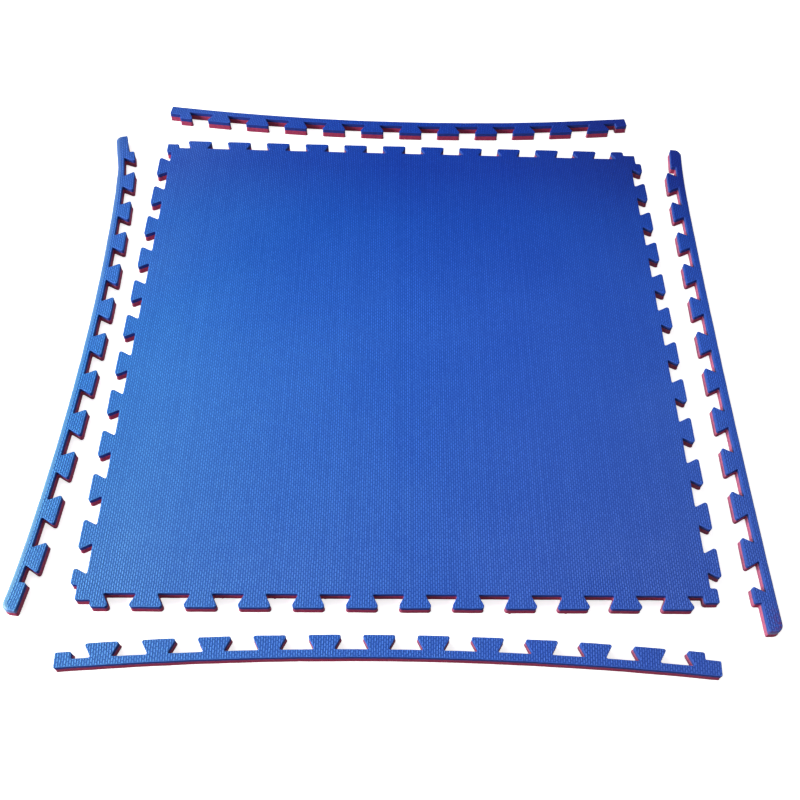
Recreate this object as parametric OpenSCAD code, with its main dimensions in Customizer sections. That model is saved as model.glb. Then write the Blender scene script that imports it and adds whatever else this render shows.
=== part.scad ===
// Jigsaw floor mat of two bonded foam sheets, with four loose edge strips
// laid out around it. Millimetres, +Z up. The origin is the middle of the
// mat's underside, where it meets the floor.

/* [Mat] */
// Side of the mat, from the face of one corner block to the next
mat_side = 1000; // [990:1:1030]
// Thickness of the upper foam sheet
top_layer_t = 9; // [6:0.5:16]
// Thickness of the lower foam sheet
bottom_layer_t = 11; // [6:0.5:16]

/* [Teeth] */
// Full teeth along each side, besides the half tooth at one end
full_teeth = 11; // [7:2:11]
// Distance from one tooth to the next
tooth_pitch = 82.5; // [78:0.5:83]
// Width of a strip's gap at the head of the tooth that fills it
tooth_head = 53; // [46:0.5:54]
// How much wider the mat's teeth are than the strips' gaps, for a tight press
press_fit = 1.8; // [0:0.2:3]
// Depth of the teeth, from gap base to tip
tooth_depth = 22; // [18:0.5:26]
// Radius on the tip corners of the mat's teeth
mat_tip_r = 4; // [2:0.5:5]
// Radius on the tip corners of the strips' teeth
strip_tip_r = 3; // [2:0.5:5]
// Radius in the corners at the base of each gap
root_r = 1.5; // [1:0.5:3]
// Extra width of a half tooth past its centre line
half_tooth_extra = 1.6; // [0:0.2:4]

/* [Edge strips] */
// Width of the solid spine behind the teeth of the front and rear strips
short_spine_w = 12; // [8:0.5:20]
// Width of the solid spine behind the teeth of the left and right strips
long_spine_w = 13.5; // [8:0.5:20]
// Radius on the outer corners of the two long strips
long_end_r = 14; // [4:1:18]
// Radius on the other square corners
block_r = 1.5; // [1:0.5:4]

/* [Front strip] */
// Distance from its place on the mat
front_gap = 63.5; // [50:0.5:120]
// Offset along the mat's side
front_shift = -13.6; // [-30:0.1:30]
// Turn on the floor, in degrees
front_turn = -0.6; // [-2:0.05:2]
// How far its middle stands in from its ends
front_bow = 22.5; // [4:0.5:40]
// Relaxed length as a share of its length on the mat
front_stretch = 0.994; // [0.97:0.001:1.03]

/* [Rear strip] */
// Distance from its place on the mat
rear_gap = 65; // [50:0.5:120]
// Offset along the mat's side
rear_shift = -6.4; // [-30:0.1:30]
// Turn on the floor, in degrees
rear_turn = 0; // [-2:0.05:2]
// How far its middle stands in from its ends
rear_bow = 30; // [4:0.5:40]
// Relaxed length as a share of its length on the mat
rear_stretch = 1.002; // [0.97:0.001:1.03]

/* [Left strip] */
// Distance from its place on the mat
left_gap = 52; // [50:0.5:120]
// Offset along the mat's side
left_shift = -0.8; // [-30:0.1:30]
// Turn on the floor, in degrees
left_turn = -0.35; // [-2:0.05:2]
// How far its middle stands in from its ends
left_bow = 24.5; // [4:0.5:40]
// How much further its rear end curls out
left_curl = 11; // [0:1:20]
// Relaxed length as a share of its length on the mat
left_stretch = 0.99; // [0.97:0.001:1.03]

/* [Right strip] */
// Distance from its place on the mat
right_gap = 66; // [50:0.5:120]
// Offset along the mat's side
right_shift = -16.1; // [-30:0.1:30]
// Turn on the floor, in degrees
right_turn = -0.35; // [-2:0.05:2]
// How far its middle stands in from its ends
right_bow = 5; // [4:0.5:40]
// How much further its rear end curls out
right_curl = 4; // [0:1:20]
// Relaxed length as a share of its length on the mat
right_stretch = 1.015; // [0.97:0.001:1.03]

/* [Hidden] */
// Straight steps in each rounded corner
corner_steps = 3;
half_side = mat_side / 2;
half_depth = tooth_depth / 2;
tooth_neck = tooth_pitch - tooth_head;
// Centre line of the half tooth, and the straight cut beside it
half_tooth_x = (full_teeth + 0.5) / 2 * tooth_pitch;
block_x = half_tooth_x + half_tooth_extra;
// Outer edges of the strips, measured out from the mat's nominal side
short_outer = half_depth + short_spine_w;
long_outer = half_depth + long_spine_w;
// Half the length of a long strip, which spans the ends of the short ones
long_half = half_side + short_outer;
// Length of the curled stretch at a strip's end
curl_length = 150;

blue = "#3068c8";
red = "#9c3048";

// ---- Outlines. A path is a list of [along, out, radius] corners. ----

function unit(v) = v / norm(v);
function reversed(path) = [for (i = [len(path) - 1 : -1 : 0]) path[i]];
function wrapped(angle) = angle > 180 ? angle - 360 : angle < -180 ? angle + 360 : angle;

// The points that replace one corner, on an arc of radius r
function corner_arc(before, at, after, r) =
    let (
        a = unit(before - at),
        b = unit(after - at),
        half = acos(a * b) / 2,
        centre = at + unit(a + b) * r / sin(half),
        from = at + a * r / tan(half) - centre,
        to = at + b * r / tan(half) - centre,
        start = atan2(from.y, from.x),
        turn = wrapped(atan2(to.y, to.x) - start)
    )
    [for (i = [0 : corner_steps])
        let (angle = start + turn * i / corner_steps)
        centre + r * [cos(angle), sin(angle)]];

// A closed path with its corners rounded, as plain points
function rounded(path) =
    let (n = len(path), p = [for (c = path) [c.x, c.y]])
    [for (i = [0 : n - 1])
        each path[i].z == 0
            ? [p[i]]
            : corner_arc(p[(i + n - 1) % n], p[i], p[(i + 1) % n], path[i].z)];

// The interlocking line along one side. A half tooth stands beside the first
// block, a half gap beside the last. head_r rounds the corners at the mat's
// tips, base_r those at the base of its gaps. extra widens each tooth.
function seam(head_r, base_r, extra) =
    let (
        half_head = (tooth_head + extra) / 2,
        half_neck = (tooth_neck + extra) / 2
    )
    concat(
    [
        [-block_x, 0, base_r],
        [-block_x, half_depth, head_r],
        [-half_tooth_x + half_head, half_depth, head_r],
        [-half_tooth_x + half_neck, -half_depth, base_r]
    ],
    [for (k = [1 : full_teeth])
        let (x = -half_tooth_x + k * tooth_pitch)
        each [
            [x - half_neck, -half_depth, base_r],
            [x - half_head, half_depth, head_r],
            [x + half_head, half_depth, head_r],
            [x + half_neck, -half_depth, base_r]
        ]],
    [
        [block_x, -half_depth, base_r],
        [block_x, 0, head_r]
    ]
);

// The mat: two opposite sides are one side turned half round, and the other
// two are the same side mirrored across the diagonal.
function mat_path() =
    let (side = seam(mat_tip_r, root_r, press_fit))
    concat(
        [[-half_side, -half_side, block_r]],
        [for (c = side) [c.x, -half_side - c.y, c.z]],
        [[half_side, -half_side, block_r]],
        reversed([for (c = side) [half_side + c.y, -c.x, c.z]]),
        [[half_side, half_side, block_r]],
        [for (c = side) [-c.x, half_side + c.y, c.z]],
        [[-half_side, half_side, block_r]],
        reversed([for (c = side) [-half_side - c.y, c.x, c.z]])
    );

// A straight strip, from its teeth out to its outer edge
function strip_path(half_length, outer, end_r) = concat(
    [[-half_length, outer, end_r], [-half_length, 0, block_r]],
    seam(root_r, strip_tip_r, 0),
    [[half_length, 0, block_r], [half_length, outer, end_r]],
    [for (k = [full_teeth : -1 : 0]) [-half_tooth_x + k * tooth_pitch, outer, 0]]
);

// How far a bowed strip's line stands out at one place along it. The curl
// is at the end that curl_end names, 1 or -1.
function past_curl(along, curl_end) = max(0, along * curl_end - long_half + curl_length) / curl_length;
function deflection(along, bow, curl, curl_end) =
    bow * pow(along / half_side, 2) + curl * pow(past_curl(along, curl_end), 2);

// The same line's slope, as an angle
function lean(along, bow, curl, curl_end) =
    atan(2 * bow * along / pow(half_side, 2)
        + 2 * curl * curl_end * past_curl(along, curl_end) / curl_length);

// Bends a point of a straight strip about its spine, so the ends flare out
function bent(p, outer, bow, curl, curl_end) =
    let (
        neutral = (half_depth + outer) / 2,
        angle = lean(p.x, bow, curl, curl_end)
    )
    [0, neutral]
        + [p.x, deflection(p.x, bow, curl, curl_end)]
        + (p.y - neutral) * [-sin(angle), cos(angle)];

function strip_outline(half_length, outer, end_r, stretch, bow, curl = 0, curl_end = 1) =
    [for (p = rounded(strip_path(half_length, outer, end_r)))
        bent([p.x * stretch, p.y], outer, bow, curl, curl_end)];

// ---- Places on the floor ----

module upper_sheet() {
    translate([0, 0, bottom_layer_t])
        linear_extrude(top_layer_t)
            children();
}

module lower_sheet() {
    linear_extrude(bottom_layer_t)
        children();
}

module mat_outline() {
    polygon(rounded(mat_path()));
}

module front_outline() {
    translate([front_shift, -half_side - front_gap])
        rotate(front_turn)
            mirror([0, 1])
                polygon(strip_outline(half_side, short_outer, block_r, front_stretch, front_bow));
}

module rear_outline() {
    translate([rear_shift, half_side + rear_gap])
        rotate(rear_turn)
            mirror([1, 0])
                polygon(strip_outline(half_side, short_outer, block_r, rear_stretch, rear_bow));
}

module left_outline() {
    translate([-half_side - left_gap, left_shift])
        rotate(90 + left_turn)
            polygon(strip_outline(long_half, long_outer, long_end_r,
                left_stretch, left_bow, left_curl, 1));
}

module right_outline() {
    translate([half_side + right_gap, right_shift])
        rotate(-90 + right_turn)
            polygon(strip_outline(long_half, long_outer, long_end_r,
                right_stretch, right_bow, right_curl, -1));
}

// ---- Sub-parts ----

module mat_top_layer() {
    color(blue) upper_sheet() mat_outline();
}

module mat_bottom_layer() {
    color(red) lower_sheet() mat_outline();
}

module front_strip_top_layer() {
    color(blue) upper_sheet() front_outline();
}

module front_strip_bottom_layer() {
    color(red) lower_sheet() front_outline();
}

module rear_strip_top_layer() {
    color(blue) upper_sheet() rear_outline();
}

module rear_strip_bottom_layer() {
    color(red) lower_sheet() rear_outline();
}

module left_strip_top_layer() {
    color(blue) upper_sheet() left_outline();
}

module left_strip_bottom_layer() {
    color(red) lower_sheet() left_outline();
}

module right_strip_top_layer() {
    color(blue) upper_sheet() right_outline();
}

module right_strip_bottom_layer() {
    color(red) lower_sheet() right_outline();
}

mat_top_layer();
mat_bottom_layer();
front_strip_top_layer();
front_strip_bottom_layer();
rear_strip_top_layer();
rear_strip_bottom_layer();
left_strip_top_layer();
left_strip_bottom_layer();
right_strip_top_layer();
right_strip_bottom_layer();
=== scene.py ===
import math

import bpy
import numpy as np
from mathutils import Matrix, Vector, geometry, noise


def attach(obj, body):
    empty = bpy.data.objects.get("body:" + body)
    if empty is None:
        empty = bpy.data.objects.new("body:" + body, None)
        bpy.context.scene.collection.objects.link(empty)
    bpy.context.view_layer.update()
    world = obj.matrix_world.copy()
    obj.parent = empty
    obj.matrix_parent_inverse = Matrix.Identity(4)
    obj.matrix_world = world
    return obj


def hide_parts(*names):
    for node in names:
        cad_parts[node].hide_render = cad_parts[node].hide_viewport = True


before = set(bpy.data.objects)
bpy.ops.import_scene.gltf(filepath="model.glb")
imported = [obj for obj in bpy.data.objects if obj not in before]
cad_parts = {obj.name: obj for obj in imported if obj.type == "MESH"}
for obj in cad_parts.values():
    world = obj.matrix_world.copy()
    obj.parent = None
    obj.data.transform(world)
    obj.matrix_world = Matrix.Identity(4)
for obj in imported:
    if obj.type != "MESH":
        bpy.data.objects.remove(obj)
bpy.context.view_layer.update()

MM = 0.001
SIDES = ("front", "rear", "left", "right")

# ---------------------------------------------------------------- camera
# It looks down on the mat from beyond the front strip
cam_data = bpy.data.cameras.new("camera")
cam = bpy.data.objects.new("camera", cam_data)
bpy.context.scene.collection.objects.link(cam)
bpy.context.scene.camera = cam
cam.location = (-0.0305, -1.0131, 1.4263)
cam.rotation_euler = (math.radians(34.128), math.radians(-2.553), math.radians(-0.631))
cam_data.lens = 42.2
cam_data.sensor_width = 36.0
cam_data.shift_x = -0.033
cam_data.shift_y = -0.042
cam_data.clip_start = 0.05
cam_data.clip_end = 50.0
bpy.context.scene.view_settings.view_transform = "Standard"


# ---------------------------------------------------------------- outlines
# Digits that places are rounded to, and how near two heights or points are when they are the same
DIGITS = 6
SAME = 1e-6
WELD = 1e-7
# Only the chords of a rounded corner turn more than this at one of their ends
CHORD_TURN = math.radians(24)
# Any corner turns more than this at each of its points, in radians
MIN_TURN = 0.08
# A rim keeps within this share of a corner's radius
CORNER_ROOM = 0.65


def cad_outline(node):
    """The node's upper face as one closed loop of (x, y), anticlockwise."""
    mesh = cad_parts[node].data
    top = max(v.co.z for v in mesh.vertices)
    places = [(round(v.co.x, DIGITS), round(v.co.y, DIGITS)) for v in mesh.vertices]
    edges = set()
    for face in mesh.polygons:
        if all(top - mesh.vertices[i].co.z < SAME for i in face.vertices):
            corners = [places[i] for i in face.vertices]
            for a, b in zip(corners, corners[1:] + corners[:1]):
                if (b, a) in edges:
                    edges.remove((b, a))
                elif a != b:
                    edges.add((a, b))
    follow = dict(edges)
    start = min(follow)
    loop = [start]
    while follow[loop[-1]] != start:
        loop.append(follow[loop[-1]])
    points = np.array(loop)
    x, y = points[:, 0], points[:, 1]
    if (x * np.roll(y, -1) - np.roll(x, -1) * y).sum() < 0:
        points = points[::-1]
    return points


def turns_of(points):
    """How far the loop turns to the left at each point, in radians."""
    before, after = points - np.roll(points, 1, 0), np.roll(points, -1, 0) - points
    return np.arctan2(before[:, 0] * after[:, 1] - before[:, 1] * after[:, 0], (before * after).sum(1))


def resample(points, step):
    """The same loop with no gap between points longer than step, and its corners' chords as arcs."""
    turns = turns_of(points)
    out = []
    for a, b, turn_a, turn_b in zip(points, np.roll(points, -1, 0), turns, np.roll(turns, -1)):
        length = np.linalg.norm(b - a)
        n = max(1, int(math.ceil(length / step)))
        t = np.arange(n)[:, None] / n
        turn = max(turn_a, turn_b, key=abs)
        is_chord = turn_a * turn_b > 0 and abs(turn) > CHORD_TURN
        bulge = math.tan(turn / 4) * length / 2 if is_chord else 0.0
        outward = np.array([b[1] - a[1], a[0] - b[0]]) / length
        out += list(a + (b - a) * t + outward * bulge * 4 * t * (1 - t))
    return np.array(out)


def relax(points, rounds):
    """Softens the corners, as a die does in foam."""
    for _ in range(rounds):
        points = points * 0.5 + (np.roll(points, 1, 0) + np.roll(points, -1, 0)) * 0.25
    return points


def normals_of(points):
    """Outward unit normals of an anticlockwise loop."""
    d = np.roll(points, -1, 0) - np.roll(points, 1, 0)
    n = np.stack([d[:, 1], -d[:, 0]], 1)
    return n / np.linalg.norm(n, axis=1)[:, None]


def room_of(points):
    """How far in each point may move before it meets what comes round a convex corner."""
    turns = turns_of(points)
    length = np.linalg.norm(np.roll(points, -1, 0) - np.roll(points, 1, 0), axis=1) / 2
    corner = turns > MIN_TURN
    radius = length[corner] / turns[corner]
    reach = np.linalg.norm(points[:, None] - points[corner][None], axis=2)
    return ((reach + radius) * CORNER_ROOM).min(axis=1)


def inside(points, loop):
    """Which points lie inside the loop."""
    x, y = points[:, 0], points[:, 1]
    hit = np.zeros(len(points), bool)
    for (x0, y0), (x1, y1) in zip(loop, np.roll(loop, -1, 0)):
        if y0 == y1:
            continue
        crosses = (y0 > y) != (y1 > y)
        hit ^= crosses & (x < (x1 - x0) * (y - y0) / (y1 - y0) + x0)
    return hit


def wander(points, scale, seed):
    """Smooth noise at each point, about -1 to 1."""
    return np.array(
        [noise.noise(Vector((p[0] / scale, p[1] / scale, seed))) for p in points]
    )


# ---------------------------------------------------------------- a foam sheet
# Spacing of the points within a face, on a strip and on the mat, and their distance from its rim
STRIP_GRID = 6 * MM
MAT_GRID = 22 * MM
GRID_CLEAR = 2.5 * MM
# Each profile runs up the cut edge: (height in mm from the layer's lower face,
# distance out in mm). The last rows turn over the pressed rim.
TOP_T = 9.0
BOTTOM_T = 11.0
BLUE_EDGE = [(0, -0.25), (0.4, -0.05), (2.0, -0.12), (4.5, -0.12), (6.8, -0.05), (8.1, 0.0),
             (8.5, -0.06), (8.78, -0.22), (8.94, -0.50), (9.0, -0.85), (9.0, -1.25)]
RED_EDGE = [(0, -0.60), (0, -0.05), (0.07, 0.30), (0.26, 0.52), (0.6, 0.60), (1.2, 0.45),
            (2.4, 0.12), (5.0, -0.12), (8.4, -0.12), (10.6, -0.05), (11.0, -0.25)]
# How far from the showing face, in mm, a cut wall begins
RIM_H = 0.3
# How much of the embossing reaches over the rim
RIM_EMBOSS = 0.6
# Burrs hang below this height, in mm
BURR_H = 1.0
# How much of the painted light on cut faces falls on those facing right, against those facing the key
# light on the left
RIGHT_LIT_SHARE = 0.35
# The smooth rolled rim along the outer edge of the two long strips
ROLL_W = 6.8
ROLL_H = 4.4
ROLL_ANGLES = (0, 14, 27, 40, 53, 66, 78, 90)
# The flat strip between the roll and the embossed face
ROLL_FLAT = 0.9
ROLL = [(0, -0.25), (1.6, -0.02)] + [
    (TOP_T - ROLL_H * (1 - math.sin(math.radians(d))), -ROLL_W * (1 - math.cos(math.radians(d))))
    for d in ROLL_ANGLES
] + [(TOP_T, -ROLL_W - ROLL_FLAT)]


# The foam's warp: (length of each swell in m, its height in mm, its seed)
MAT_WARP = (0.34, 1.1, 3.0)
STRIP_WARP = (0.22, 0.9, 11.0)
# How each end of a long strip has set: (up in mm, outwards in mm, twist in degrees), front then rear
END_SET = {
    "left_strip": ((3.0, 2.0, 0.0), (0.5, 6.5, 12.0)),
    "right_strip": ((0.0, 0.0, 0.0), (6.0, 0.0, 0.0)),
}
BEND_LENGTH = 110 * MM
TWIST_LENGTH = 62 * MM
# Width of a long strip beyond its half tooth
TAB_WIDTH = 24.5 * MM


def settle(points, body, low, high):
    """Lays a sheet's points on the floor as the foam has set, from the sheet's box low to high.

    The whole sheet is slightly warped. The ends of the long strips curl up and out, and one is
    twisted about its inner lower edge, which raises its outer one.
    """
    scale, height, seed = MAT_WARP if body == "mat" else STRIP_WARP
    if body != "mat":
        seed += SIDES.index(body.split("_")[0])
    points = points.copy()
    points[:, 2] += (wander(points, scale, seed) * 0.5 + 0.5).clip(0, 1) * height * MM
    if body not in END_SET:
        return points
    outward = -1 if body == "left_strip" else 1
    middle = (low + high) / 2
    for end, (up, out, twist) in zip((-1, 1), END_SET[body]):
        reach = (high[1] - low[1]) / 2 - (points[:, 1] - middle[1]) * end
        bend = np.clip(1 - reach / BEND_LENGTH, 0, 1) ** 2
        turn = np.clip(1 - reach / TWIST_LENGTH, 0, 1) ** 1.5 * math.radians(twist)
        inner = (low[0] if outward < 0 else high[0]) - outward * TAB_WIDTH
        u, z = (points[:, 0] - inner) * outward, points[:, 2].copy()
        points[:, 0] = inner + outward * (u * np.cos(turn) - z * np.sin(turn) + out * MM * bend)
        points[:, 2] = z * np.cos(turn) + u * np.sin(turn) + up * MM * bend
    return points


def grain_of(points, body, axis):
    """Coordinates in the sheet before it was bent, so the embossing follows the strip."""
    if axis is None:
        return points.copy()
    along, out = (0, 1) if body in ("front_strip", "rear_strip") else (1, 0)
    centre = np.polyval(axis, points[:, along])
    slope = np.polyval(np.polyder(axis), points[:, along])
    grain = points.copy()
    grain[:, out] = points[:, out] - centre
    grain[:, along] = points[:, along] + slope * grain[:, out]
    return grain


def rings_of(loop, profile, base_z, roll, nib):
    """A sheet's wall as rings of points, one for each row of the profile."""
    normal = normals_of(loop)
    offsets = [(out * (1 - roll) + roll_out * roll) * MM for (_, out), (_, roll_out) in zip(profile, ROLL)]
    share = np.minimum(1, room_of(loop) / -np.min(offsets, axis=0))
    rings = []
    for (h, _), (roll_h, _), d in zip(profile, ROLL, offsets):
        z = (h * (1 - roll) + roll_h * roll) * MM + base_z
        d = np.where(d < 0, d * share, d)
        if h < BURR_H:
            d = d + nib
        rings.append(np.column_stack([loop + normal * d[:, None], z]))
    return rings


def grid_in(loop, face_loop, spacing):
    """A grid of points inside a sheet's face, clear of its rim."""
    lo, hi = loop.min(0), loop.max(0)
    gx, gy = np.meshgrid(
        np.arange(lo[0] + spacing / 2, hi[0], spacing),
        np.arange(lo[1] + spacing / 2, hi[1], spacing),
    )
    grid = np.column_stack([gx.ravel(), gy.ravel()])
    grid = grid[inside(grid, loop)]
    clear = np.array([np.abs(face_loop - p).sum(1).min() for p in grid]) > GRID_CLEAR
    return grid[clear & inside(grid, face_loop)]


def build_sheet(name, loop, base_z, body, axis, upper, roll, nib, worn):
    """One closed foam sheet. upper says that its top face shows, otherwise its lower one.

    roll is how far each point of the loop belongs to the rolled rim, nib how far a burr stands
    out of its lower rim, and worn gives the wear at any point.
    """
    profile = BLUE_EDGE if upper else RED_EDGE
    normal = normals_of(loop)
    n, rows = len(loop), len(profile)
    face_row, rim_row = (rows - 1, rows - 2) if upper else (0, 1)
    rings = rings_of(loop, profile, base_z, roll, nib)
    coords, faces = list(rings), []
    emboss, cut, smooth, painted_lit_side = [], [], [], []
    for r, (h, _) in enumerate(profile):
        wall = h < TOP_T - RIM_H if upper else h > RIM_H
        emboss.append(np.full(n, float(r == face_row)) + (r == rim_row) * RIM_EMBOSS * (1 - roll))
        cut.append(np.full(n, float(wall)) * (1 - roll))
        smooth.append(roll * (r != face_row))
        # Painted light on the cut faces that face the key light on the left, and less on those facing
        # right
        painted_lit_side.append(np.clip(-normal[:, 0], 0, 1) + np.clip(normal[:, 0], 0, 1) * RIGHT_LIT_SHARE)
    for r in range(rows - 1):
        a, b = r * n, (r + 1) * n
        for i in range(n):
            j = (i + 1) % n
            faces.append((a + i, a + j, b + j, b + i))

    grid = grid_in(loop, rings[face_row][:, :2], MAT_GRID if body == "mat" else STRIP_GRID)
    total = n * rows
    for row in (0, rows - 1):
        shown = row == face_row
        ring = rings[row]
        flat = [Vector(p[:2]) for p in ring] + [Vector(p) for p in grid]
        result = geometry.delaunay_2d_cdt(flat, [], [list(range(n))], 1, WELD)
        points, triangles, source = result[0], result[2], result[3]
        index = []
        extra = []
        for k, ids in enumerate(source):
            if ids and ids[0] < n:
                index.append(row * n + ids[0])
            else:
                index.append(total + len(extra))
                extra.append((points[k].x, points[k].y, ring[0, 2]))
        if extra:
            coords.append(np.array(extra))
            emboss.append(np.full(len(extra), float(shown)))
            cut.append(np.zeros(len(extra)))
            smooth.append(np.zeros(len(extra)))
            painted_lit_side.append(np.zeros(len(extra)))
        total += len(extra)
        for t in triangles:
            t = [index[k] for k in t]
            if len(set(t)) == 3:
                faces.append(tuple(reversed(t)) if row == 0 else tuple(t))
    coords = np.vstack(coords)
    grain = grain_of(coords[:, :2], body, axis)
    wear = worn(coords[:, :2])
    coords = settle(coords, body, loop.min(0), loop.max(0))
    mesh = bpy.data.meshes.new(name)
    mesh.from_pydata(coords.tolist(), [], faces)
    mesh.validate()
    mesh.update()
    mesh.shade_smooth()
    for label, values in (("emboss", np.concatenate(emboss)), ("cut", np.concatenate(cut)),
                          ("smooth", np.concatenate(smooth)), ("painted_lit_side", np.concatenate(painted_lit_side)),
                          ("worn", wear)):
        attribute = mesh.attributes.new(label, "FLOAT", "POINT")
        attribute.data.foreach_set("value", values.astype(np.float32))
    vectors = np.column_stack([grain, coords[:, 2]]).astype(np.float32)
    mesh.attributes.new("grain", "FLOAT_VECTOR", "POINT").data.foreach_set("vector", vectors.ravel())
    obj = bpy.data.objects.new(name, mesh)
    bpy.context.scene.collection.objects.link(obj)
    return obj


# ---------------------------------------------------------------- materials
class Graph:
    """A small helper for building a material's nodes."""

    def __init__(self, name):
        self.material = bpy.data.materials.new(name)
        self.material.use_nodes = True
        self.tree = self.material.node_tree
        self.shader = self.tree.nodes["Principled BSDF"]

    def node(self, kind, **values):
        n = self.tree.nodes.new(kind)
        for k, v in values.items():
            setattr(n, k, v)
        return n

    def link(self, a, b):
        self.tree.links.new(a, b)

    def put(self, socket, value):
        if hasattr(value, "is_output"):
            self.link(value, socket)
        else:
            socket.default_value = value

    def math(self, operation, a, b=None, c=None, clamp=False):
        n = self.node("ShaderNodeMath", operation=operation, use_clamp=clamp)
        for i, v in enumerate((a, b, c)):
            if v is not None:
                self.put(n.inputs[i], v)
        return n.outputs[0]

    def attribute(self, name, kind="Fac"):
        n = self.node("ShaderNodeAttribute", attribute_name=name)
        return n.outputs[kind]

    def noise(self, vector, scale, detail=2.0, roughness=0.5):
        n = self.node("ShaderNodeTexNoise")
        self.link(vector, n.inputs["Vector"])
        n.inputs["Scale"].default_value = scale
        n.inputs["Detail"].default_value = detail
        n.inputs["Roughness"].default_value = roughness
        return n.outputs["Fac"]

    def mix(self, factor, a, b, blend="MIX"):
        n = self.node("ShaderNodeMix", data_type="RGBA", blend_type=blend)
        self.put(n.inputs["Factor"], factor)
        for socket, value in ((n.inputs[6], a), (n.inputs[7], b)):
            self.put(socket, (*value, 1.0) if isinstance(value, tuple) and len(value) == 3 else value)
        return n.outputs[2]

    def gradient(self, value, stops):
        """A colour for each value, blended between the (value, colour) stops."""
        low, high = stops[0][0], stops[-1][0]
        share = self.math("DIVIDE", self.math("SUBTRACT", value, low), high - low, clamp=True)
        n = self.node("ShaderNodeValToRGB")
        self.link(share, n.inputs[0])
        marks = n.color_ramp.elements
        for at, _ in stops[1:-1]:
            marks.new((at - low) / (high - low))
        for mark, (_, colour) in zip(marks, stops):
            mark.color = (*colour, 1.0)
        return n.outputs[0]

    def ramp(self, value, low, high):
        """0 below low, 1 above high, smooth between."""
        n = self.node("ShaderNodeMapRange", interpolation_type="SMOOTHSTEP")
        self.put(n.inputs["Value"], value)
        n.inputs["From Min"].default_value = low
        n.inputs["From Max"].default_value = high
        return n.outputs["Result"]


# The embossing: short raised bars in staggered columns
COLUMN = 3.75 * MM
RIDGE = 7.15 * MM
BAR_HEIGHT = 0.62 * MM
# Where a bar's sides and ends slope down, as shares of the column and of the ridge from its middle
BAR_SIDES = (0.07, 0.40)
BAR_ENDS = (0.29, 0.46)
# How far the pattern sways sideways and along, and the noise that moves it
SWAY_ACROSS = 1.6 * MM
SWAY_ALONG = 3.0 * MM
SWAY_SCALE = 70.0
# How far a column is out of step, as a share of a ridge
OUT_OF_STEP = 0.20
# A bar's height: the least of it, and what chance adds for each bar and for each column
BAR_LEAST = 0.46
BAR_CHANCE = 0.46
COLUMN_CHANCE = 0.36
# Painted highlight on the bars' tops and painted shade in the grooves, as tints of the skin
BAR_HIGHLIGHT_TINT = (1.65, 1.50, 1.22)
GROOVE_SHADE_TINT = (0.34, 0.40, 0.58)
# The share of the skin that lies in grooves
MEAN_SUNK = 0.62
# How strong the painted groove shade and bar highlight are at the front left, and how much weaker at the
# rear and at the right
GROOVE_SHADE_STRENGTH = 1.2
REAR_WEAKER = 0.28
RIGHT_WEAKER = 0.22
# Between which places, in m, they grow weaker
TO_REAR = (-0.5, -0.1)
TO_RIGHT = (0.0, 0.4)
# The noises, in swells a metre: broad stains, scuffed patches, a cut face's lumps and its cells
STAIN_SCALE = 4.0
SCUFF_SCALE = 34.0
LUMP_SCALE = 240.0
CELL_SCALE = 900.0
# Where on the noise each of them sets in and is full, and how strong a scuff is
STAIN_SPAN = (0.35, 0.65)
SCUFF_SPAN = (0.50, 0.78)
LUMP_SPAN = (0.35, 0.70)
RUBBED_SPAN = (0.38, 0.66)
SCUFF_SHARE = 0.5
# Tints for broad stains, scuffs, the dark lumps of a cut face and the smooth rolled rim
STAIN_TINT = (0.86, 0.92, 0.97)
SCUFF_TINT = (1.30, 1.16, 1.04)
LUMP_TINT = (0.70, 0.72, 0.80)
ROLL_TINT = (1.05, 0.92, 0.72)
# The skin's roughness, and what a bar's top, a cut face, wear and patches add to it
SKIN_ROUGH = 0.56
BAR_ROUGH = -0.12
CUT_ROUGH = 0.25
WORN_ROUGH = 0.2
PATCH_ROUGH = 0.08
SPECULAR = 0.15
ROLL_COAT = 0.9
COAT_ROUGH = 0.38
CELL_HEIGHT = 0.04 * MM
TORN_HEIGHT = 0.45 * MM


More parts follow.
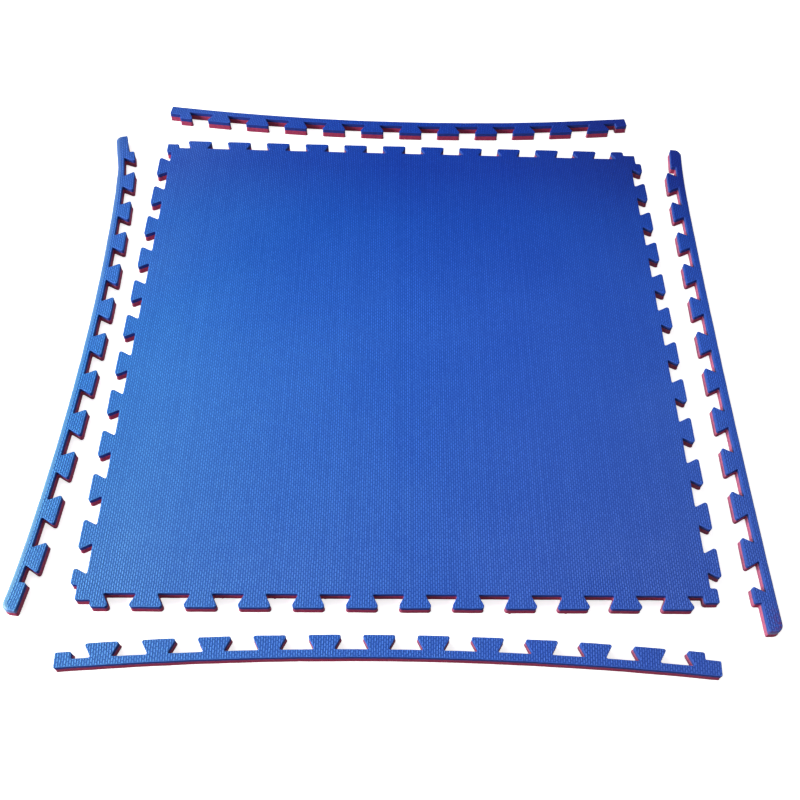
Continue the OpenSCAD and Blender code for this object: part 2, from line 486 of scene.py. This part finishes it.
def foam(name, skin_colour, painted_light, bare, lit_bare, rubbed):
    """Closed-cell foam: an embossed skin, and cut edges with a finer, duller grain.

    skin_colour gives the skin's colour from front to rear. Light and shade are painted over it:
    each entry of the second argument is a direction and the painted tints along it. bare is a cut
    face's colour in shade, the next argument a lit copy of it painted on cut faces that face the key
    light on the left and partly on those facing right, and rubbed that of the place where the skin has
    worn.
    """
    g = Graph(name)
    position = g.attribute("grain", "Vector")
    where = g.node("ShaderNodeSeparateXYZ")
    g.link(g.node("ShaderNodeTexCoord").outputs["Object"], where.inputs[0])
    # The skin's colour from front to rear; along the blue, paler at the front and darker at the rear as
    # painted light
    skin = g.gradient(where.outputs[1], skin_colour)
    # Painted light and shade, multiplied over the skin along each direction
    for (dx, dy), tints in painted_light:
        place = g.math("MULTIPLY_ADD", where.outputs[0], dx, g.math("MULTIPLY", where.outputs[1], dy))
        skin = g.mix(1.0, skin, g.gradient(place, tints), "MULTIPLY")
    split = g.node("ShaderNodeSeparateXYZ")
    g.link(position, split.inputs[0])
    sway = g.noise(position, SWAY_SCALE, 1.0)
    u = g.math("MULTIPLY_ADD", sway, SWAY_ACROSS, split.outputs[0])
    v = g.math("MULTIPLY_ADD", sway, SWAY_ALONG, split.outputs[1])
    column = g.math("DIVIDE", u, COLUMN)
    across = g.math("ABSOLUTE", g.math("SUBTRACT", g.math("FRACT", column), 0.5))
    odd = g.math("MODULO", g.math("ABSOLUTE", g.math("FLOOR", column)), 2.0)
    strand = g.node("ShaderNodeTexWhiteNoise", noise_dimensions="1D")
    g.link(g.math("FLOOR", column), strand.inputs["W"])
    row = g.math("ADD", g.math("DIVIDE", v, RIDGE), g.math("MULTIPLY", odd, 0.5))
    row = g.math("MULTIPLY_ADD", strand.outputs["Value"], OUT_OF_STEP, row)
    along = g.math("ABSOLUTE", g.math("SUBTRACT", g.math("FRACT", row), 0.5))
    bar = g.math(
        "MULTIPLY",
        g.math("SUBTRACT", 1.0, g.ramp(across, *BAR_SIDES)),
        g.math("SUBTRACT", 1.0, g.ramp(along, *BAR_ENDS)),
    )
    cell = g.node("ShaderNodeCombineXYZ")
    g.link(g.math("FLOOR", column), cell.inputs[0])
    g.link(g.math("FLOOR", row), cell.inputs[1])
    chance = g.node("ShaderNodeTexWhiteNoise", noise_dimensions="2D")
    g.link(cell.outputs[0], chance.inputs["Vector"])
    uneven = g.math("MULTIPLY_ADD", chance.outputs["Value"], BAR_CHANCE, BAR_LEAST)
    uneven = g.math("MULTIPLY_ADD", strand.outputs["Value"], COLUMN_CHANCE, uneven)
    bar = g.math("MULTIPLY", bar, uneven)
    emboss = g.attribute("emboss")
    cut = g.attribute("cut")
    smooth = g.attribute("smooth")
    worn = g.attribute("worn")
    raised = g.math("MULTIPLY", bar, emboss)

    broad = g.noise(position, STAIN_SCALE, 2.0)
    patchy = g.noise(position, SCUFF_SCALE, 3.0, 0.6)
    cells = g.noise(position, CELL_SCALE, 2.0, 0.7)
    lumps = g.noise(position, LUMP_SCALE, 2.0, 0.6)
    # Painted highlight on the embossed face, taken back down in the grooves as painted shade, strongest at
    # the front left
    skin = g.mix(emboss, skin, g.mix(1.0, skin, BAR_HIGHLIGHT_TINT, "MULTIPLY"))
    to_rear = g.ramp(where.outputs[1], *TO_REAR)
    to_right = g.ramp(where.outputs[0], *TO_RIGHT)
    depth = g.math("MULTIPLY_ADD", to_rear, -REAR_WEAKER, GROOVE_SHADE_STRENGTH)
    depth = g.math("MULTIPLY_ADD", to_right, -RIGHT_WEAKER, depth)
    sunk = g.math("SUBTRACT", g.math("SUBTRACT", 1.0, bar), MEAN_SUNK)
    sunk = g.math("MULTIPLY", g.math("MULTIPLY_ADD", sunk, depth, MEAN_SUNK), emboss)
    shade = g.mix(sunk, skin, g.mix(1.0, skin, GROOVE_SHADE_TINT, "MULTIPLY"))
    shade = g.mix(g.ramp(broad, *STAIN_SPAN), shade, g.mix(1.0, shade, STAIN_TINT, "MULTIPLY"))
    scuffed = g.math("MULTIPLY", g.ramp(patchy, *SCUFF_SPAN), SCUFF_SHARE)
    shade = g.mix(scuffed, shade, g.mix(1.0, shade, SCUFF_TINT, "MULTIPLY"))
    # A cut face's colour in shade, with a lit copy painted where it faces the key light
    side = g.mix(g.attribute("painted_lit_side"), bare, lit_bare)
    side = g.mix(g.ramp(lumps, *LUMP_SPAN), side, g.mix(1.0, side, LUMP_TINT, "MULTIPLY"))
    shade = g.mix(smooth, shade, g.mix(1.0, shade, ROLL_TINT, "MULTIPLY"))
    colour = g.mix(cut, shade, side)
    speckle = g.math("MULTIPLY", worn, g.ramp(lumps, *RUBBED_SPAN))
    colour = g.mix(speckle, colour, rubbed)
    g.link(colour, g.shader.inputs["Base Color"])

    rough = g.math("MULTIPLY_ADD", raised, BAR_ROUGH, SKIN_ROUGH)
    rough = g.math("MULTIPLY_ADD", cut, CUT_ROUGH, rough)
    rough = g.math("MULTIPLY_ADD", worn, WORN_ROUGH, rough)
    rough = g.math("MULTIPLY_ADD", patchy, PATCH_ROUGH, rough, clamp=True)
    g.link(rough, g.shader.inputs["Roughness"])
    g.shader.inputs["Specular IOR Level"].default_value = SPECULAR
    g.link(g.math("MULTIPLY", smooth, ROLL_COAT), g.shader.inputs["Coat Weight"])
    g.shader.inputs["Coat Roughness"].default_value = COAT_ROUGH

    height = g.math("MULTIPLY", raised, BAR_HEIGHT)
    height = g.math("MULTIPLY_ADD", cells, CELL_HEIGHT, height)
    torn = g.math("MULTIPLY", g.math("MAXIMUM", cut, worn), lumps)
    height = g.math("MULTIPLY_ADD", torn, TORN_HEIGHT, height)
    bump = g.node("ShaderNodeBump")
    bump.inputs["Strength"].default_value = 1.0
    bump.inputs["Distance"].default_value = 1.0
    g.link(height, bump.inputs["Height"])
    g.link(bump.outputs[0], g.shader.inputs["Normal"])
    return g.material


# The skins' colours at places from front to rear, in m. Along the blue the change is painted light: paler
# towards the front, darker towards the rear.
BLUE_SKIN_AND_LIGHT = (
    (-0.45, (0.039, 0.138, 0.583)),
    (-0.3, (0.034, 0.137, 0.596)),
    (-0.1, (0.027, 0.131, 0.617)),
    (0.1, (0.019, 0.115, 0.613)),
    (0.3, (0.0087, 0.087, 0.555)),
    (0.45, (0.005, 0.056, 0.467)),
)
RED_SKIN = ((-0.45, (0.46, 0.055, 0.11)), (0.45, (0.42, 0.040, 0.09)))
# Painted light and shade over the blue, from left to right, towards the rear left corner and towards the
# rear right one: paler towards the left where the key light falls, paler and redder to the rear left,
# darker to the rear right
LEFT_TO_RIGHT = (
    (-0.60, (2.1, 1.9, 1.0)),
    (-0.56, (1.35, 1.42, 0.92)),
    (-0.45, (1.5, 1.41, 0.94)),
    (-0.2, (1.17, 1.14, 0.98)),
    (0.0, (1, 1, 1)),
    (0.2, (1.1, 0.925, 1.0)),
    (0.45, (1.35, 0.93, 0.98)),
)
TO_REAR_LEFT = (
    (0.5, (1, 1, 1)),
    (0.75, (1.9, 1.06, 1.02)),
    (0.9, (3.6, 1.22, 1.08)),
    (1.05, (4.5, 1.33, 1.12)),
)
TO_REAR_RIGHT = (
    (0.6, (1, 1, 1)),
    (0.8, (1.1, 0.92, 0.92)),
    (0.93, (1.1, 0.80, 0.82)),
    (1.03, (1.1, 0.60, 0.72)),
)
# The blue's skin carries painted light and shade, and its cut faces a shaded colour and a painted lit copy
# of it
BLUE = foam(
    "blue_foam",
    skin_colour=BLUE_SKIN_AND_LIGHT,
    painted_light=(((1, 0), LEFT_TO_RIGHT), ((-1, 1), TO_REAR_LEFT), ((1, 1), TO_REAR_RIGHT)),
    bare=(0.015, 0.034, 0.25),
    lit_bare=(0.050, 0.105, 0.40),
    rubbed=(0.12, 0.035, 0.16),
)
# The red's cut faces have a shaded colour and a painted lit copy of it
RED = foam(
    "red_foam",
    skin_colour=RED_SKIN,
    painted_light=(),
    bare=(0.42, 0.036, 0.10),
    lit_bare=(0.64, 0.16, 0.27),
    rubbed=(0.35, 0.06, 0.09),
)

# ---------------------------------------------------------------- the pieces
# Longest step along an outline
STEP = 1.5 * MM
# The mat's teeth, as in the CAD model: from one to the next, their depth and their width at the head
PITCH = 82.5 * MM
DEPTH = 22 * MM
HEAD = 54.8 * MM
# How a cut wanders off its line: (length of each swing, how far, change of seed)
WAVER = ((30 * MM, 0.30 * MM, 0), (7 * MM, 0.14 * MM, 5))
# Keeps the seeds off whole numbers, where the noise is flat
SEED_SHIFT = 0.37
# The die left a short spur on the leading corner of these front teeth: (tooth, length in mm)
SPURS = ((-4, 4.6), (-3, 2.8), (-2, 3.4), (-1, 1.8), (0, 1.3), (1, 0.9))
# How far behind the tip a spur stands, how far round it the edge is drawn out, and its lean forwards
SPUR_BACK = 3.0 * MM
SPUR_REACH = 2.6 * MM
SPUR_LEAN = 0.2
# Burrs under the front teeth and gaps: (tooth position, on the gap's base, length in mm)
BURRS = (
    (-3.55, 1, 1.6), (-3.38, 1, 1.1), (-2.40, 1, 1.8), (-1.45, 1, 1.0), (0.40, 1, 1.3),
    (1.46, 1, 1.9), (-0.10, 0, 1.5), (2.05, 0, 1.9), (3.12, 0, 1.2), (4.42, 1, 1.4),
)
BURR_REACH = 1.8 * MM
# The worn patch at the front end of the right strip
WORN_LENGTH = 44 * MM
WORN_WIDTH = 17 * MM
WORN_END = 3.0 * MM
# How much of the full roll each long strip's outer edge has
ROLL_SHARE = {"left": 1.0, "right": 0.32}
# The roll reaches this deep along the edge, and this deep where it turns round a strip's end
EDGE_REACH = 5 * MM
END_REACH = 22 * MM
# The end faces have a slighter roll: (share, length), and the right strip's front end one of its own
END_ROLL = (0.40, 3 * MM)
RIGHT_END_ROLL = (0.45, 4 * MM)
ROLL_ROUNDS = 6
# An edge begins to roll where it faces sideways, and is fully rolled after this much of a turn
ROLL_FROM = -0.05
ROLL_TURN = 0.6
# An outer edge faces outwards by more than this, and is followed to this far from the strip's ends
FACING = 0.9
END_CLEAR = 20 * MM


def add_spurs(loop):
    """The mat's outline with the spurs on its front teeth."""
    tip = loop[:, 1].min() + SPUR_BACK
    for tooth, length in SPURS:
        d = np.linalg.norm(loop - [tooth * PITCH - HEAD / 2, tip], axis=1)
        weight = np.clip(1 - d / SPUR_REACH, 0, 1)
        loop = loop + np.outer(weight, [-length * MM, -SPUR_LEAN * length * MM])
    return loop


def burrs_of(loop):
    """How far a burr stands out at each point of the mat's outline."""
    nib = np.zeros(len(loop))
    front = loop[:, 1].min()
    for tooth, gap, length in BURRS:
        d = np.linalg.norm(loop - [tooth * PITCH, front + gap * DEPTH], axis=1)
        nib += np.clip(1 - d / BURR_REACH, 0, 1) * length * MM
    return nib


def outer_edge(loop, along, out, sign):
    """A strip's outer edge as a curve, which the embossing and the roll follow."""
    span = np.abs(loop[:, along]).max()
    edge = normals_of(loop)[:, out] * sign > FACING
    edge &= np.abs(loop[:, along]) < span - END_CLEAR
    return np.polyfit(loop[edge, along], loop[edge, out], 4)


def rolled(loop, side, axis, sign):
    """How far each point of a long strip's outline belongs to its rolled rim, from 0 to 1."""
    x, y = loop[:, 0], loop[:, 1]
    span = np.abs(y).max()
    depth = (np.polyval(axis, y) - x) * sign
    at_end = np.abs(y) > span - END_REACH
    roll = np.clip((normals_of(loop)[:, 0] * sign - ROLL_FROM) / ROLL_TURN, 0, 1)
    roll = roll * (depth < np.where(at_end, END_REACH, EDGE_REACH))
    share, length = END_ROLL
    roll = np.maximum(roll, share * (np.abs(y) > span - length))
    roll = roll * roll * (3 - 2 * roll) * ROLL_SHARE[side]
    if side == "right":
        share, length = RIGHT_END_ROLL
        roll = np.maximum(roll, share * (y < y.min() + length))
    return relax(np.column_stack([roll, roll]), ROLL_ROUNDS)[:, 0]


def unworn(points):
    return np.zeros(len(points))


def worn_end(loop, axis):
    """A function that gives the wear at any point, for a strip worn at its front outer corner.

    The wear is full at the corner and ends a little over the patch's length and width from it.
    """
    front_end = loop[:, 1].min()

    def worn(points):
        depth = np.polyval(axis, points[:, 1]) - points[:, 0]
        reach = points[:, 1] - front_end
        patch = np.clip(1.25 - reach / WORN_LENGTH, 0, 1) * np.clip(1.3 - depth / WORN_WIDTH, 0, 1)
        return np.maximum(patch, np.clip(1.5 - reach / WORN_END, 0, 1))

    return worn


for body in ("mat", *(s + "_strip" for s in SIDES)):
    loop = relax(resample(cad_outline(body + "_top_layer"), STEP), 1)
    seed = len(body) + SEED_SHIFT
    waver = sum(wander(loop, length, seed + change) * far for length, far, change in WAVER)
    loop = loop + normals_of(loop) * waver[:, None]
    axis, worn = None, unworn
    plain = np.zeros(len(loop))
    roll, nib = plain, plain
    if body == "mat":
        loop = add_spurs(loop)
        nib = burrs_of(loop)
    else:
        side = body.split("_")[0]
        along, out = (0, 1) if side in ("front", "rear") else (1, 0)
        sign = 1 if side in ("rear", "right") else -1
        axis = outer_edge(loop, along, out, sign)
        if side in ROLL_SHARE:
            roll = rolled(loop, side, axis, sign)
        if side == "right":
            worn = worn_end(loop, axis)
    blue = build_sheet(body + "_blue", loop, BOTTOM_T * MM, body, axis, True, roll, plain, worn)
    red = build_sheet(body + "_red", loop, 0.0, body, axis, False, plain, nib, unworn)
    for piece, material, node, slot in (
        (blue, BLUE, body + "_top_layer", "blue_foam"),
        (red, RED, body + "_bottom_layer", "red_foam"),
    ):
        piece.data.materials.append(material)
        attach(piece, body)
        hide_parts(node)

# ---------------------------------------------------------------- floor and light
FLOOR_HALF = 60.0
# The floor lies just under the foam, so that the two faces don't coincide
FLOOR_DROP = 0.3 * MM
corners = [(-FLOOR_HALF, -FLOOR_HALF, 0), (FLOOR_HALF, -FLOOR_HALF, 0),
           (FLOOR_HALF, FLOOR_HALF, 0), (-FLOOR_HALF, FLOOR_HALF, 0)]
floor_mesh = bpy.data.meshes.new("floor")
floor_mesh.from_pydata(corners, [], [(0, 1, 2, 3)])
floor = bpy.data.objects.new("floor", floor_mesh)
bpy.context.scene.collection.objects.link(floor)
floor.location.z = -FLOOR_DROP
floor_look = Graph("floor")
floor_look.shader.inputs["Base Color"].default_value = (0.9, 0.9, 0.9, 1)
floor_look.shader.inputs["Roughness"].default_value = 0.9
floor_look.shader.inputs["Specular IOR Level"].default_value = 0.1
floor_look.shader.inputs["Emission Color"].default_value = (1, 1, 1, 1)
floor_look.shader.inputs["Emission Strength"].default_value = 0.70
floor_mesh.materials.append(floor_look.material)
floor.visible_diffuse = False


def softbox(name, place, aim, width, height, power, colour=(1, 1, 1)):
    """A rectangular light at place that faces aim."""
    light = bpy.data.lights.new(name, "AREA")
    light.shape = "RECTANGLE"
    light.size, light.size_y = width, height
    light.energy = power
    light.color = colour
    obj = bpy.data.objects.new(name, light)
    obj.location = place
    obj.rotation_euler = (Vector(aim) - Vector(place)).to_track_quat("-Z", "Y").to_euler()
    bpy.context.scene.collection.objects.link(obj)


softbox("key", (-2.8, -0.80, 1.15), (0, -0.1, 0), 2.2, 1.2, 145, (0.95, 1.0, 1.0))
softbox("top", (-1.3, 0.9, 2.9), (-0.3, -0.3, 0), 1.2, 1.2, 20)

# The studio's light comes from above. The camera sees it as plain white.
world = bpy.data.worlds.new("studio")
bpy.context.scene.world = world
world.use_nodes = True
sky = world.node_tree
place = sky.nodes.new("ShaderNodeTexCoord")
parts = sky.nodes.new("ShaderNodeSeparateXYZ")
fade = sky.nodes.new("ShaderNodeMapRange")
sky.links.new(place.outputs["Generated"], parts.inputs[0])
sky.links.new(parts.outputs["Z"], fade.inputs["Value"])
fade.inputs["From Min"].default_value = -0.10
fade.inputs["From Max"].default_value = 0.15
fade.inputs["To Min"].default_value = 0.05
fade.inputs["To Max"].default_value = 0.42
sky.nodes["Background"].inputs["Color"].default_value = (1, 1, 1, 1)
seen = sky.nodes.new("ShaderNodeLightPath")
shown = sky.nodes.new("ShaderNodeMix")
shown.inputs["B"].default_value = 1.0
sky.links.new(seen.outputs["Is Camera Ray"], shown.inputs["Factor"])
sky.links.new(fade.outputs["Result"], shown.inputs["A"])
sky.links.new(shown.outputs["Result"], sky.nodes["Background"].inputs["Strength"])
